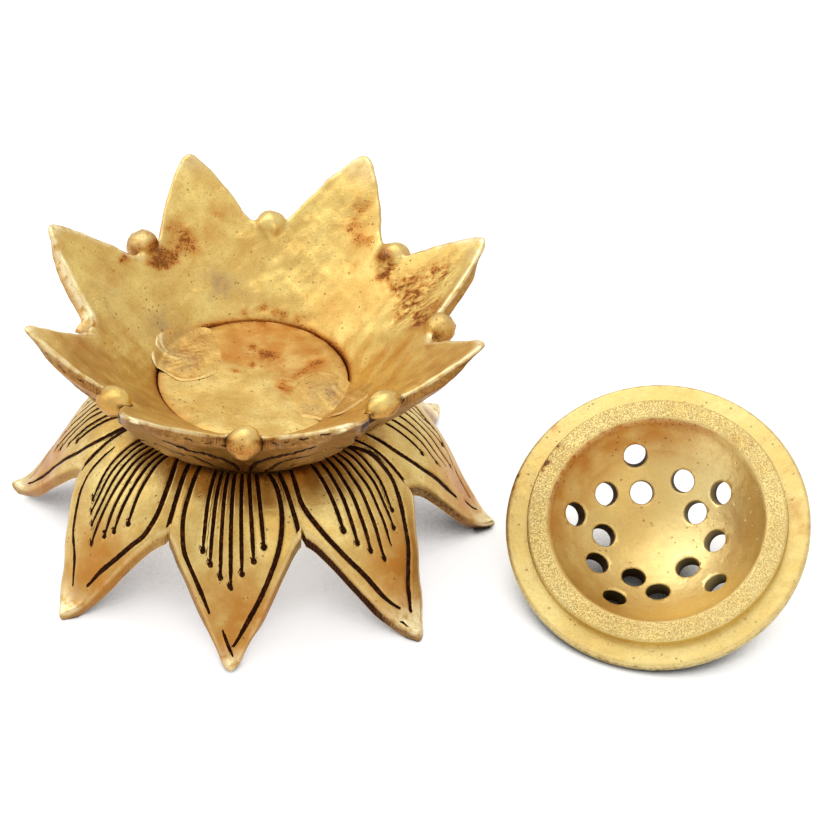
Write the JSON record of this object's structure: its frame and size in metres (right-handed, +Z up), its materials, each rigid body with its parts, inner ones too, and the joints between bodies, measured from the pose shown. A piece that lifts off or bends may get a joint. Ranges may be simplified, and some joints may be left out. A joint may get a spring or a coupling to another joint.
{
  "type": "dhoop burner",
  "caption": "Brass lotus-shaped burner: an open petalled bowl on a petalled stand, with a loose perforated lid lying upside down beside it.",
  "frame": {"origin": "middle of the footprint of the whole set, lid included, at the level of the table", "axes": "+Z up; +X along the longest side, from the burner towards the lid beside it; the front of the burner looks towards -Y"},
  "size_m": [0.2066, 0.1276, 0.076],
  "materials": {
    "stand_brass": "brushed cast brass with dark engraved lines",
    "bowl_brass": "rough cast brass, worn bright at the edges, orange-brown patina",
    "tack_brass": "flowed brazing metal, dull",
    "lid_brass": "turned brass, satin, granular on the ring"
  },
  "bodies": {
    "burner": {"petal_stand": "stand_brass", "petal_bowl": "bowl_brass", "braze_tack_back": "tack_brass", "braze_tack_front": "tack_brass"},
    "lid": {"lid": "lid_brass"}
  },
  "joints": [
    {"name": "lid_lift", "type": "slide", "parent": "burner", "child": "lid", "axis": [0, 0, 1], "range_m": [0, 0.08]}
  ]
}
